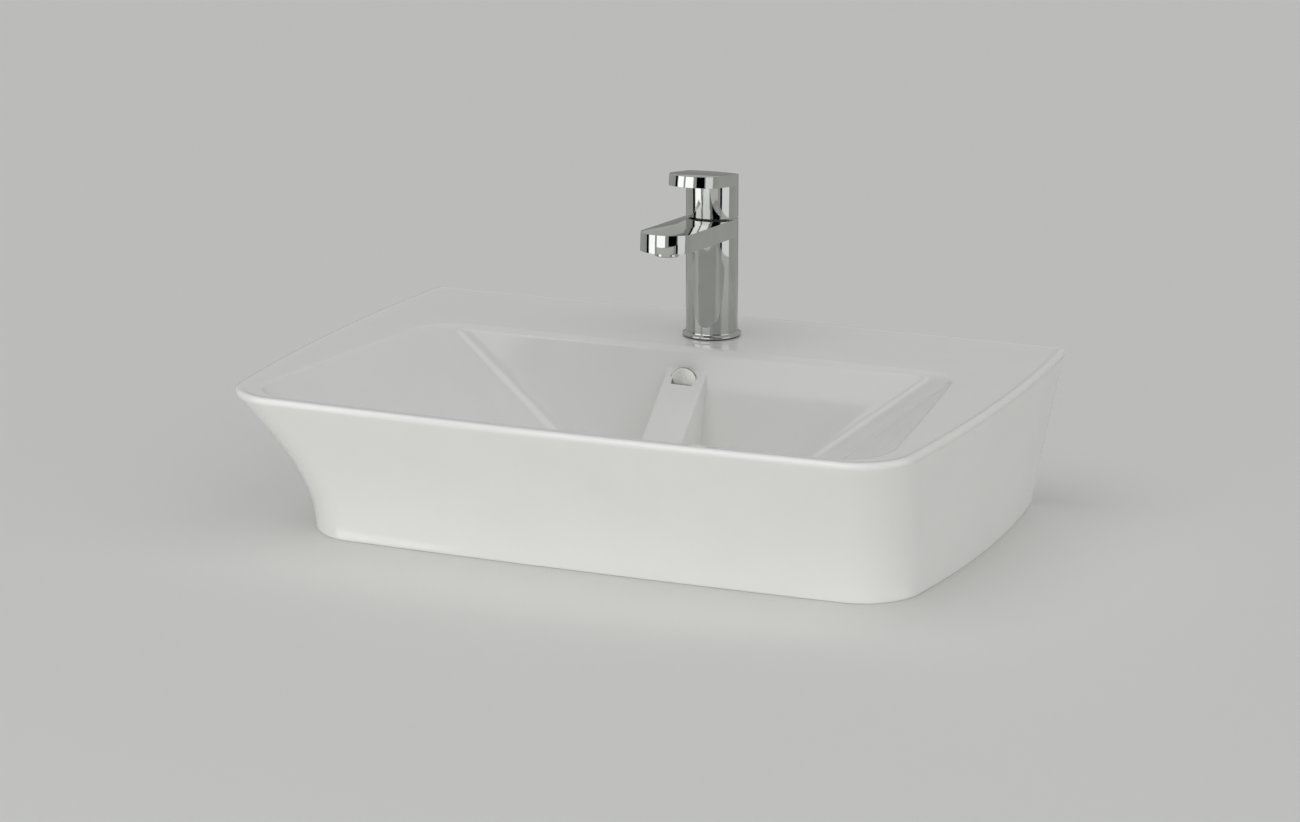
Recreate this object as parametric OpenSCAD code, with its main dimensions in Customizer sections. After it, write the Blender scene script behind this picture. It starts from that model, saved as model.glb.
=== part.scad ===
// Rectangular ceramic basin with a flared apron, a lever mixer tap and a push waste.
// X runs along the wall, +Y points into the wall and +Z up.
// The origin is midway between the two wall bolt holes, on the back face.

/* [Basin] */
// Greatest width of the rim
basin_w = 600; // [560:1:640]
// Depth from the wall to the front of the rim
basin_d = 419; // [400:1:440]
// Height from the base to the rim
basin_h = 139; // [132:1:150]
// How far the sides draw in at the wall, each side
side_waist = 8.5; // [6:0.5:10]
// How much the rim tapers in towards its front corners, each side
front_taper = 14.5; // [10:0.5:18]
// Radius of the rim's front corners
rim_corner_r = 42; // [34:1:50]
// Inward lean of the side walls down to the base
side_lean = 28; // [22:1:34]
// Overhang of the rim's front beyond the base
front_lean = 87; // [76:1:92]
// Radius of the base's front corners
foot_corner_r = 42; // [34:1:50]
// Height of the rolled edge round the rim
rim_band = 6.5; // [5:0.5:8]
// Thickness of the apron walls
wall_t = 11; // [9:0.5:12]
// Thickness of the deck and the tap ledge
deck_t = 13; // [11:0.5:14]

/* [Bowl] */
// Depth of the tap ledge, from the wall to the bowl
ledge_d = 119; // [114:1:124]
// Half width of the bowl's opening at the back
bowl_back_w = 235; // [225:1:240]
// Half width of the bowl's opening at the front
bowl_front_w = 273; // [266:1:274]
// Width of the front lip
lip_w = 13; // [11:0.5:16]
// Half width of the bowl's floor at the back
floor_back_w = 118; // [100:1:130]
// Half width of the bowl's floor at the front
floor_front_w = 165; // [150:1:175]
// How far the front wall of the bowl slopes back to the floor
front_slope = 106; // [100:1:110]
// How far the rear wall of the bowl slopes forward to the floor
rear_slope = 17; // [12:1:20]
// Depth of the bowl below the rim
bowl_depth = 106; // [100:1:108]
// Plan thickness of the bowl's walls
bowl_t = 12; // [10:0.5:13]

/* [Wall bolts] */
// Distance between the two wall bolt holes
bolt_spacing = 280; // [240:5:320]
// Height of the bolt holes above the base
bolt_rise = 70; // [60:1:78]
// Radius of a bolt hole
bolt_hole_r = 7; // [6:0.5:8]

/* [Overflow] */
// Depth of the overflow's centre below the rim
overflow_drop = 29; // [27:0.5:32]
// Radius of the overflow hole
overflow_hole_r = 10; // [9:0.5:11]
// Radius of the overflow cap
overflow_cap_r = 12.5; // [12:0.1:14]
// Gap behind the overflow cap, where the water goes in
overflow_slot = 2.6; // [2:0.1:3.5]
// Width of the duct that leads the overflow down to the waste
duct_w = 26; // [22:1:30]
// Depth of the duct behind the bowl
duct_d = 12; // [10:0.5:14]
// Wall of the duct
duct_t = 5; // [4:0.5:6]

/* [Waste] */
// Distance of the waste's axis from the wall
waste_y = 226; // [218:1:234]
// Radius of the waste hole in the ceramic
waste_hole_r = 22.5; // [22:0.1:24]
// Radius of the waste's threaded body
waste_r = 20.95; // [20.5:0.05:21.2]
// Wall of the waste body
waste_wall = 2.2; // [2:0.1:3]
// Radius of the waste flange
flange_r = 31.5; // [31:0.5:33]
// Length of the waste body below its flange
waste_len = 84; // [78:1:95]
// Width of the groove that ends the thread under the backnut
groove_w = 2.5; // [2:0.5:4]
// Height of the backnut
backnut_h = 11; // [9:0.5:14]
// Radius of the plug's cap
plug_r = 29.5; // [28:0.5:30.5]
// Travel of the push plug
plug_travel = 8; // [6:0.5:9]

/* [Tap] */
// Distance of the tap's axis from the wall
tap_y = 71.5; // [66:0.5:78]
// Radius of the tap's column, spout and lever
column_r = 22; // [21:0.25:24]
// Height from the deck to the top of the column, on its axis
column_h = 101.5; // [96:0.5:110]
// Reach from the tap's axis to the centre of the spout's nose
spout_reach = 98; // [88:1:110]
// Thickness of the spout
spout_t = 15.5; // [14:0.5:17]
// Upward tilt of the spout
spout_tilt = 3.9; // [3:0.1:5]
// Radius of the tap's base ring
ring_r = 24.75; // [24.5:0.05:26.5]
// Height of the tap's base ring
ring_h = 4; // [3:0.5:6]
// Radius of the tap hole in the ledge
tap_hole_r = 17.5; // [17:0.25:18]
// Radius of the hose inlets
inlet_r = 4.46; // [4.2:0.02:4.8]
// Half the distance between the two hose inlets
inlet_x = 7.5; // [7:0.25:8]
// Distance of the hose inlets in front of the tap's axis
inlet_front = 4; // [3:0.25:5]

/* [Lever] */
// Least gap between the lever's neck and the column, at the ends of its swing
split_gap = 0.12; // [0.1:0.01:0.4]
// Reach from the tap's axis to the centre of the lever's nose
lever_reach = 38; // [34:1:44]
// Thickness of the lever
lever_t = 11; // [10:0.5:12]
// Upward tilt of the lever
lever_tilt = 7.8; // [6:0.1:9]
// Height from the column's top to the lever's upper face, on the axis
lever_rise = 39.5; // [37:0.5:42]
// Wall of the lever's neck
neck_wall = 2.4; // [2:0.1:2.8]
// Lift of the lever from closed to fully open
lift_angle = 18; // [14:1:20]
// Swing of the lever to each side
swing_angle = 45; // [35:1:55]

/* [Cartridge] */
// Radius of the cartridge's housing
cartridge_r = 14; // [13.5:0.1:14.4]
// Height of the lever's pivot above the column's top
pivot_rise = 10; // [9:0.5:12]
// Distance of the lever's pivot behind the tap's axis
pivot_back = 4; // [3:0.25:4.5]
// Distance from the pivot down to the ball of the lever's stem
stem_drop = 11; // [10.5:0.25:11.5]
// Radius of the pivot pin
pivot_r = 1.5; // [1.2:0.1:1.8]
// Radius of the ceramic discs
disc_r = 8.6; // [8.2:0.1:8.8]
// Thickness of each ceramic disc
disc_t = 3; // [2.5:0.1:3.4]

/* [Fits] */
// Radial clearance of a shaft that turns or slides in its hole
running_gap = 0.05; // [0.03:0.01:0.09]
// Clearance between pieces that only sit together
seat_gap = 0.1; // [0.05:0.01:0.2]
// Clearance between soft pieces and what they touch
soft_gap = 0.05; // [0.02:0.01:0.1]

/* [Hidden] */

$fn = 64;
eps = 0.01;
// Half the width of a block that cuts away all beyond a plane
block = 100;

glaze = [0.93, 0.93, 0.92];
chrome = [0.72, 0.73, 0.74];
brass = [0.80, 0.66, 0.36];
steel = [0.62, 0.63, 0.65];
rubber = [0.12, 0.12, 0.12];
plastic = [0.86, 0.86, 0.84];
disc_white = [0.95, 0.93, 0.88];

base_z = -bolt_rise;
rim_z = base_z + basin_h;
deck_z = rim_z - 0.6;
floor_z = rim_z - bowl_depth;

// Plan outlines: [back y, back half width, middle half width, front half width, front y,
// back corner radius, front corner radius, bow of the front edge]
rim_outline = [0, basin_w / 2 - side_waist, basin_w / 2, basin_w / 2 - front_taper, -basin_d,
    5, rim_corner_r, 5];
foot_outline = [0, basin_w / 2 - side_waist - side_lean, basin_w / 2 - side_lean + 2,
    basin_w / 2 - front_taper - side_lean, front_lean - basin_d, 5, foot_corner_r, 3];
bowl_outline = [-ledge_d, bowl_back_w, (bowl_back_w + bowl_front_w) / 2 + 2, bowl_front_w,
    lip_w - basin_d, 28, 46, 4];
edge_round = 5;
floor_outline = [-ledge_d - edge_round - rear_slope, floor_back_w, (floor_back_w + floor_front_w) / 2,
    floor_front_w, lip_w - basin_d + front_slope, 22, 40, 3];

// Points on half an outline: back edge, back corner, side, front corner, front edge
half_counts = [5, 3, 9, 5, 5];
side_start = half_counts[0] + half_counts[1];
side_end = side_start + half_counts[2];
front_start = side_end + half_counts[3];
half_n = front_start + half_counts[4];
ring_n = 2 * half_n;

function mix(a, b, t) = a + (b - a) * t;
function clamp01(t) = min(1, max(0, t));
function smooth(t) = t * t * (3 - 2 * t);
function bend(p, q, r, s, t) = pow(1 - t, 3) * p + 3 * t * pow(1 - t, 2) * q
    + 3 * t * t * (1 - t) * r + pow(t, 3) * s;
function inset(o, d, back = undef) = [o[0] - (is_undef(back) ? d : back), o[1] - d, o[2] - d, o[3] - d,
    o[4] + d, max(1, o[5] - d), max(4, o[6] - d), o[7]];
function side_x(o, v) = o[1] * (1 - v) + o[3] * v + 4 * (o[2] - (o[1] + o[3]) / 2) * v * (1 - v);

// The corner is a cubic blend whose handles aim at the sharp corner
function corner(a, k, b, t) = bend(a, mix(a, k, 0.55), mix(b, k, 0.55), b, t);
function half_point(o, i) =
    let (len = o[0] - o[4],
         va = o[5] / len,
         vb = 1 - (o[6] + o[7]) / len,
         back_end = [side_x(o, 0) - o[5], o[0]],
         side_a = [side_x(o, va), o[0] - o[5]],
         side_b = [side_x(o, vb), o[0] - vb * len],
         front_a = [side_x(o, 1) - o[6], o[4] + o[7]])
    i <= half_counts[0] ? [back_end[0] * i / half_counts[0], o[0]]
    : i <= side_start ? corner(back_end, [side_x(o, 0), o[0]], side_a, (i - half_counts[0]) / half_counts[1])
    : i <= side_end ? let (v = mix(va, vb, (i - side_start) / half_counts[2])) [side_x(o, v), o[0] - v * len]
    : i <= front_start ? corner(side_b, [side_x(o, 1), front_a[1]], front_a, (i - side_end) / half_counts[3])
    : let (x = front_a[0] * (half_n - i) / half_counts[4]) [x, o[4] + o[7] * pow(x / front_a[0], 2)];

function plan_point(o, i) = i <= half_n ? half_point(o, i)
    : let (p = half_point(o, ring_n - i)) [-p[0], p[1]];
function half_index(i) = i <= half_n ? i : ring_n - i;

// How strongly a place on the apron flares: 0 at the wall, 1 from the front corners on
function flare_weight(i) = smooth(clamp01((half_index(i) - side_start) / half_counts[2]));
function flare(i, t) = mix(t, t * t * (1.5 - 0.5 * t), flare_weight(i));
under_rim_z = rim_z - rim_band;
function apron_point(i, z, d) =
    let (t = (z - base_z) / (under_rim_z - base_z))
    mix(plan_point(inset(foot_outline, d), i), plan_point(inset(rim_outline, 1.5 + d, d), i), flare(i, t));

function level(o, z) = [for (i = [0:ring_n - 1]) concat(plan_point(o, i), z)];
function apron_ring(t, d) = let (z = mix(base_z, under_rim_z, t))
    [for (i = [0:ring_n - 1]) concat(apron_point(i, z, d), z)];

// The bowl's walls run straight from the rounded edge down to the rounded floor
edge_z = rim_z - 6;
wall_foot_z = floor_z + 13;
bowl_edge = inset(bowl_outline, edge_round);
function bowl_point(i, a, d) =
    mix(plan_point(inset(bowl_edge, -d), i), plan_point(inset(floor_outline, -d), i), a);
function bowl_ring(a) = [for (i = [0:ring_n - 1]) concat(bowl_point(i, a, 0), mix(edge_z, wall_foot_z, a))];
waste_c = [0, -waste_y];
function round_point(i, r) = let (p = plan_point(floor_outline, i) - waste_c) waste_c + p * r / norm(p);
function round_ring(r, z) = [for (i = [0:ring_n - 1]) concat(round_point(i, r), z)];
function floor_ring(s, z) = [for (i = [0:ring_n - 1])
    concat(mix(plan_point(inset(floor_outline, 16), i), round_point(i, pad_r), s), z)];

// Underside: the hollow reaches the deck at the back and sides and stays low behind the front wall
seat_r = flange_r + 2;
pad_r = seat_r + 3;
boss_r = 34.5;
boss_t = 25;
boss_z = floor_z - boss_t;
floor_t = 12;
under_z = floor_z - floor_t;
hollow_top_z = rim_z - deck_t;
front_hollow_z = base_z + basin_h * 0.55;
function hollow_z(i) = mix(hollow_top_z, front_hollow_z,
    smooth(clamp01((half_index(i) - side_start) / half_counts[2] * 2 - 1)));
function under_point(i, z) = bowl_point(i, 1 - clamp01((z - wall_foot_z) / (edge_z - wall_foot_z)), bowl_t);
function under_ring(q) = [for (i = [0:ring_n - 1])
    let (z = mix(under_z + 8, hollow_z(i), q)) concat(under_point(i, z), z)];
function inner_ring(q) = [for (i = [0:ring_n - 1])
    let (z = mix(base_z, hollow_z(i), q)) concat(apron_point(i, z, wall_t), z)];

skin = concat(
    [round_ring(pad_r, floor_z)],
    [floor_ring(0.6, floor_z + 0.4), floor_ring(0, floor_z + 1.4)],
    [level(inset(floor_outline, 8), floor_z + 3.4), level(inset(floor_outline, 3), floor_z + 7)],
    [for (k = [0:7]) bowl_ring(1 - k / 7)],
    [level(inset(bowl_outline, 2.6), rim_z - 2.9), level(inset(bowl_outline, 0.8), deck_z - 0.6),
     level(inset(bowl_outline, -2), deck_z)],
    [level(inset(rim_outline, 8, 6), deck_z), level(inset(rim_outline, 5, 3), rim_z - 0.15),
     level(inset(rim_outline, 2.6, 1.2), rim_z),
     level(inset(rim_outline, 0.7, 0), rim_z - 1.3), level(rim_outline, rim_z - 3.1),
     level(inset(rim_outline, 0.4, 0), rim_z - 5)],
    [for (k = [0:9]) apron_ring(1 - k / 10, 0)],
    [level(inset(foot_outline, -0.1, 0), base_z + 1.6), level(inset(foot_outline, 1.4, 0), base_z)],
    [for (k = [0:5]) inner_ring(k / 5)],
    [for (k = [0:6]) under_ring(1 - k / 6)],
    [level(inset(floor_outline, 4 - bowl_t), under_z + 2), level(inset(floor_outline, 8), under_z)],
    [round_ring(boss_r + 6, under_z - 1), round_ring(boss_r, boss_z + 2), round_ring(boss_r - 1, boss_z)]);

// A closed skin of rings, capped flat at its first and last ring
module ring_skin(rings) {
    n = len(rings[0]);
    m = len(rings);
    points = [for (r = rings) each r];
    faces = concat([[for (i = [0:n - 1]) i]],
        [for (k = [0:m - 2], i = [0:n - 1]) let (j = (i + 1) % n)
            each [[k * n + i, (k + 1) * n + i, (k + 1) * n + j], [k * n + i, (k + 1) * n + j, k * n + j]]],
        [[for (i = [n - 1:-1:0]) (m - 1) * n + i]]);
    polyhedron(points = points, faces = faces, convexity = 12);
}

seat_z = floor_z - 3;
overflow_z = rim_z - overflow_drop;
rear_fraction = (edge_z - overflow_z) / (edge_z - wall_foot_z);
rear_wall_y = -ledge_d - edge_round - rear_slope * rear_fraction;
rear_wall_tilt = atan(rear_slope / (edge_z - wall_foot_z));
function behind_bowl_y(z) =
    bowl_t - ledge_d - edge_round - rear_slope * (edge_z - z) / (edge_z - wall_foot_z);
slot_h = 8;
slot_z = floor_z - boss_t / 2 - slot_h / 2;
// The overflow's axis stands square to the bowl's rear wall
module facing_wall(out) {
    translate([0, rear_wall_y, overflow_z])
        rotate([90 - rear_wall_tilt, 0, 0])
            translate([0, 0, out])
                children();
}

// The overflow's duct, seen from the side: down behind the bowl and under its floor to the waste's slots
duct_top_z = overflow_z + overflow_hole_r + 2;
duct_bend = 10;
module duct_side() {
    polygon([[behind_bowl_y(duct_top_z) - 1, duct_top_z], [behind_bowl_y(wall_foot_z) - 1, wall_foot_z],
        [behind_bowl_y(wall_foot_z) - 1, slot_z + slot_h + duct_bend],
        [behind_bowl_y(wall_foot_z) - 1 - duct_bend, slot_z + slot_h], [-waste_y, slot_z + slot_h],
        [-waste_y, slot_z], [behind_bowl_y(wall_foot_z) + duct_d - duct_bend, slot_z],
        [behind_bowl_y(wall_foot_z) + duct_d, slot_z + duct_bend],
        [behind_bowl_y(wall_foot_z) + duct_d, wall_foot_z],
        [behind_bowl_y(duct_top_z) + duct_d, duct_top_z]]);
}
module across(w) {
    rotate([90, 0, 90])
        linear_extrude(w, center = true)
            children();
}
module basin_ceramic() {
    color(glaze)
        difference() {
            union() {
                ring_skin(skin);
                across(duct_w + 2 * duct_t)
                    offset(r = duct_t, $fn = 24)
                        duct_side();
            }
            across(duct_w)
                duct_side();
            translate([0, -waste_y, boss_z - 1])
                cylinder(h = boss_t + 2, r = waste_hole_r);
            translate([0, -waste_y, seat_z])
                cylinder(h = 5, r = seat_r);
            translate([0, -tap_y, rim_z - deck_t - 1])
                cylinder(h = deck_t + 4, r = tap_hole_r);
            facing_wall(-20)
                cylinder(h = 30, r = overflow_hole_r);
            for (s = [-1, 1])
                translate([s * bolt_spacing / 2, 1, 0])
                    rotate([90, 0, 0])
                        cylinder(h = wall_t + 4, r = bolt_hole_r);
        }
}

// Overflow: a flanged sleeve in the hole and a disc that stands off it
insert_r = overflow_hole_r - seat_gap;
insert_wall = 1.4;
insert_bore = insert_r - insert_wall;
insert_flange = 1;
hub_r = 2.2;
hub_h = 5;
spoke_w = 1.6;
spoke_h = 4;
module overflow_insert() {
    color(plastic)
        facing_wall(seat_gap) {
            difference() {
                union() {
                    cylinder(h = insert_flange, r = insert_r + insert_wall);
                    translate([0, 0, -bowl_t - 1])
                        cylinder(h = bowl_t + 1 + eps, r = insert_r);
                }
                translate([0, 0, -bowl_t - 2])
                    cylinder(h = bowl_t + 4, r = insert_bore);
            }
            difference() {
                union() {
                    translate([0, 0, -hub_h])
                        cylinder(h = hub_h, r = hub_r + insert_wall);
                    for (a = [0, 120, 240])
                        rotate(a)
                            translate([0, -spoke_w / 2, -hub_h])
                                cube([insert_bore + insert_wall / 2, spoke_w, spoke_h]);
                }
                translate([0, 0, -hub_h - 1])
                    cylinder(h = hub_h + 2, r = hub_r);
            }
        }
}
cap_low = insert_flange + overflow_slot;
cap_t = 2.3;
cap_edge = 0.6;
module overflow_cap() {
    color(chrome)
        facing_wall(seat_gap)
            rotate_extrude()
                polygon([[0, cap_edge - hub_h], [hub_r - seat_gap, cap_edge - hub_h], [hub_r - seat_gap, cap_low],
                    [overflow_cap_r - cap_edge, cap_low], [overflow_cap_r, cap_low + cap_edge],
                    [overflow_cap_r, cap_low + cap_t - cap_edge], [overflow_cap_r - cap_edge, cap_low + cap_t],
                    [0, cap_low + cap_t]]);
}

// Waste: everything is turned about its axis
module at_waste(z) {
    translate([0, -waste_y, z])
        children();
}
seal_t = 1.6;
flange_z = seat_z + seal_t + 2 * soft_gap;
flange_t = 2.2;
flange_dish = 0.6;
flange_lip = 3;
spigot_r = waste_hole_r - 0.6;
waste_end = flange_z - waste_len;
waste_bore = waste_r - waste_wall;
slot_w = 14;
module waste_body() {
    color(chrome)
        at_waste(0)
            difference() {
                union() {
                    translate([0, 0, waste_end])
                        cylinder(h = waste_len, r = waste_r);
                    translate([0, 0, flange_z])
                        cylinder(h = flange_t, r = flange_r);
                    translate([0, 0, flange_z - 1])
                        cylinder(h = 1 + eps, r = spigot_r);
                }
                translate([0, 0, waste_end - 1])
                    cylinder(h = waste_len + 6, r = waste_bore);
                translate([0, 0, flange_z + flange_dish])
                    cylinder(h = flange_t, r = flange_r - flange_lip);
                for (a = [0:90:270])
                    rotate(a + 45)
                        translate([waste_bore - 2, -slot_w / 2, slot_z])
                            cube([waste_wall + 5, slot_w, slot_h]);
                translate([0, 0, groove_z])
                    difference() {
                        cylinder(h = groove_w, r = waste_r + 1);
                        translate([0, 0, -1])
                            cylinder(h = groove_w + 2, r = waste_r - groove_t);
                    }
            }
}
module flange_seal() {
    color(rubber)
        at_waste(seat_z + soft_gap)
            difference() {
                cylinder(h = seal_t, r = flange_r - 0.5);
                translate([0, 0, -1])
                    cylinder(h = seal_t + 2, r = waste_hole_r + 0.2);
            }
}
gasket_t = 5;
washer_t = 1.5;
gasket_z = boss_z - soft_gap - gasket_t;
washer_z = gasket_z - soft_gap - washer_t;
nut_z = washer_z - soft_gap - backnut_h;
groove_t = 0.7;
groove_z = nut_z - 2 - groove_w;
nut_wall = 7;
nut_collar = 9;
nut_collar_h = 3;
module waste_gasket() {
    color(rubber)
        at_waste(gasket_z)
            rotate_extrude()
                polygon([[waste_r + soft_gap, 0], [boss_r - 3, 0], [boss_r - 1, 2], [boss_r - 1, gasket_t],
                    [waste_r + soft_gap, gasket_t]]);
}
module waste_washer() {
    color(plastic)
        at_waste(washer_z)
            difference() {
                cylinder(h = washer_t, r = boss_r - 2);
                translate([0, 0, -1])
                    cylinder(h = washer_t + 2, r = waste_r + soft_gap);
            }
}
module waste_nut() {
    color(brass)
        at_waste(nut_z)
            difference() {
                union() {
                    cylinder(h = backnut_h, r = waste_r + nut_wall, $fn = 8);
                    translate([0, 0, backnut_h - nut_collar_h])
                        cylinder(h = nut_collar_h, r = waste_r + nut_collar);
                }
                translate([0, 0, -1])
                    cylinder(h = backnut_h + 2, r = waste_r + running_gap);
            }
}
// The plug is stored open, raised by its travel above the flange
plug_seal_t = 1.6;
plug_z = flange_z + flange_dish + plug_seal_t + 2 * soft_gap + plug_travel;
plug_t = 4.5;
plug_edge = 1.9;
stem_r = 4;
stem_head = 0.6;
stem_head_h = 5;
collar_drop = 9;
collar_t = 2;
collar_w = 3;
collar_z = plug_z - plug_travel - collar_drop;
guide_z = slot_z - 16;
guide_h = 10;
guide_wall = 3;
guide_web = 2.4;
guide_band = 2;
stem_end = guide_z - 4;
module plug_cap() {
    color(chrome)
        at_waste(plug_z)
            rotate_extrude()
                polygon([[0, 0], [plug_r - 1.5, 0], [plug_r, plug_edge / 2], [plug_r - 0.6, plug_edge],
                    [plug_r * 0.8, plug_t - 1.3], [plug_r * 0.5, plug_t - 0.4], [0, plug_t]]);
}
module plug_seal() {
    color(rubber)
        at_waste(plug_z - soft_gap - plug_seal_t)
            difference() {
                cylinder(h = plug_seal_t, r = plug_r - 3);
                translate([0, 0, -1])
                    cylinder(h = plug_seal_t + 2, r = stem_r + stem_head + soft_gap);
            }
}
module plug_stem() {
    color(brass)
        at_waste(stem_end)
            union() {
                cylinder(h = plug_z - soft_gap - stem_end, r = stem_r);
                translate([0, 0, collar_z - stem_end])
                    cylinder(h = collar_t, r = stem_r + collar_w);
                translate([0, 0, plug_z - soft_gap - stem_head_h - stem_end])
                    cylinder(h = stem_head_h, r = stem_r + stem_head);
            }
}
module plug_guide() {
    color(plastic)
        at_waste(guide_z) {
            difference() {
                union() {
                    cylinder(h = guide_h, r = stem_r + guide_wall);
                    for (a = [0:90:270])
                        rotate(a)
                            translate([0, -guide_web / 2, 0])
                                cube([waste_bore - guide_band / 2, guide_web, guide_h - 3]);
                }
                translate([0, 0, -1])
                    cylinder(h = guide_h + 2, r = stem_r + running_gap);
            }
            difference() {
                cylinder(h = guide_h - 3, r = waste_bore - soft_gap);
                translate([0, 0, -1])
                    cylinder(h = guide_h, r = waste_bore - guide_band);
            }
        }
}
// One unbroken helix of round wire, swept along its own points
spring_wire = 0.8;
spring_coil_r = stem_r + 1.6;
spring_turns = 5;
spring_steps = 10;
spring_low = guide_z + guide_h + spring_wire + soft_gap;
spring_high = collar_z - spring_wire - soft_gap;
module plug_spring() {
    count = spring_turns * spring_steps;
    sides = 6;
    points = [for (i = [0:count], j = [0:sides - 1])
        let (a = 360 * i / spring_steps,
             r = spring_coil_r + spring_wire * cos(360 * j / sides),
             z = mix(spring_low, spring_high, i / count) + spring_wire * sin(360 * j / sides))
        [r * cos(a), r * sin(a), z]];
    faces = concat([[for (j = [0:sides - 1]) j]],
        [for (i = [0:count - 1], j = [0:sides - 1]) let (k = (j + 1) % sides)
            each [[i * sides + j, (i + 1) * sides + j, (i + 1) * sides + k],
                [i * sides + j, (i + 1) * sides + k, i * sides + k]]],
        [[for (j = [sides - 1:-1:0]) count * sides + j]]);
    color(steel)
        at_waste(0)
            polyhedron(points = points, faces = faces, convexity = 8);
}

// Tap: modules work about the tap's axis
module at_tap(z) {
    translate([0, -tap_y, z])
        children();
}
module tilted(z, angle) {
    translate([0, 0, z])
        rotate([-angle, 0, 0])
            children();
}
// A flat bar with a round nose, as wide as the column, along -Y from the axis
module nosed_bar(reach, width_r) {
    translate([-width_r, -reach])
        square([2 * width_r, reach]);
    translate([0, -reach])
        circle(r = width_r);
}
inlet_y = -inlet_front;
gasket_h = 1;
ring_z = deck_z + gasket_h + soft_gap;
body_z = ring_z + ring_h;
split_z = deck_z + column_h;
web_z = body_z + 26;
web_t = 14;
body_wall = 3.2;
cavity_r = column_r - body_wall;
hose_way_r = 3.4;
nose_wall = 2;
module base_gasket() {
    color(rubber)
        at_tap(deck_z + soft_gap)
            difference() {
                cylinder(h = gasket_h - soft_gap, r = ring_r - 1.2);
                translate([0, 0, -1])
                    cylinder(h = gasket_h + 2, r = tap_hole_r + 0.5);
            }
}
module base_ring() {
    color(chrome)
        at_tap(ring_z)
            rotate_extrude()
                polygon([[tap_hole_r, 0], [ring_r, 0], [ring_r, ring_h * 0.35], [ring_r - 0.9, ring_h * 0.55],
                    [column_r + 0.9, ring_h * 0.75], [column_r + 0.4, ring_h], [tap_hole_r, ring_h]]);
}
nose_y = -spout_reach;
aerator_r = 10;
aerator_seat_r = aerator_r + seat_gap;
aerator_depth = 11;
aerator_proud = 4.5;
// The water way climbs from the cartridge's side outlet to the chamber over the aerator
water_r = 3.4;
water_low = 5.6;
water_high = spout_t - 4.6;
water_climb = atan((water_high - water_low) / (spout_reach - cartridge_r));
module tap_body() {
    color(chrome)
        at_tap(0)
            difference() {
                union() {
                    difference() {
                        translate([0, 0, body_z])
                            cylinder(h = split_z - body_z + 12, r = column_r);
                        tilted(split_z, spout_tilt)
                            translate([-block, -block, 0])
                                cube(2 * block);
                    }
                    tilted(split_z - spout_t, spout_tilt)
                        linear_extrude(spout_t)
                            nosed_bar(spout_reach, column_r - 0.05);
                }
                translate([0, 0, body_z - 1])
                    cylinder(h = web_z - body_z + 1, r = cavity_r);
                translate([0, 0, cartridge_z])
                    cylinder(h = 60, r = bore_r);
                translate([0, 0, split_z - 9])
                    cylinder(h = 30, r = nut_thread_r);
                for (s = [-1, 1])
                    translate([s * inlet_x, inlet_y, web_z - 1])
                        cylinder(h = web_t + 1, r = inlet_r);
                for (s = [-1, 1])
                    translate([s * inlet_x, inlet_y, web_z])
                        cylinder(h = cartridge_z - web_z + 1, r = hose_way_r);
                translate([0, stud_y, web_z - 1])
                    cylinder(h = stud_grip + 1, r = stud_r + running_gap);
                tilted(split_z - spout_t, spout_tilt)
                    translate([0, -cartridge_r + 2, water_low])
                        rotate([90 - water_climb, 0, 0])
                            cylinder(h = spout_reach - cartridge_r + 2, r = water_r);
                tilted(split_z - spout_t, spout_tilt)
                    translate([0, nose_y, -1])
                        cylinder(h = aerator_depth + 1, r = aerator_seat_r);
                tilted(split_z - spout_t, spout_tilt)
                    translate([0, nose_y, 0])
                        cylinder(h = spout_t - nose_wall, r = aerator_seat_r - nose_wall);
            }
}
// Aerator: a sleeve screwed into the nose, its jet insert and its seal
module at_nose(z) {
    at_tap(0)
        tilted(split_z - spout_t, spout_tilt)
            translate([0, nose_y, z])
                children();
}
aerator_top = aerator_depth - 2;
sleeve_t = 1.6;
sleeve_lip = 1;
jet_r = 0.85;
module aerator_housing() {
    color(chrome)
        at_nose(-aerator_proud)
            rotate_extrude()
                polygon([[aerator_r - sleeve_t - sleeve_lip, 0], [aerator_r - 0.6, 0], [aerator_r, 0.6],
                    [aerator_r, aerator_proud + aerator_top],
                    [aerator_r - sleeve_t, aerator_proud + aerator_top], [aerator_r - sleeve_t, 2],
                    [aerator_r - sleeve_t - sleeve_lip, 2]]);
}
module aerator_insert() {
    insert_top = aerator_proud + aerator_top - 1.5;
    color(plastic)
        at_nose(-aerator_proud)
            difference() {
                translate([0, 0, 2 + soft_gap])
                    cylinder(h = insert_top - 2, r = aerator_r - sleeve_t - soft_gap);
                for (ring = [[2.4, 6], [5.2, 12]])
                    for (k = [0:ring[1] - 1])
                        rotate(360 * k / ring[1])
                            translate([ring[0], 0, 1])
                                cylinder(h = insert_top + 4, r = jet_r);
            }
}
module aerator_seal() {
    color(rubber)
        at_nose(aerator_top + soft_gap)
            difference() {
                cylinder(h = aerator_depth - aerator_top - 2 * soft_gap, r = aerator_r - 0.4);
                translate([0, 0, -1])
                    cylinder(h = 5, r = aerator_r - 3);
            }
}
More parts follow.
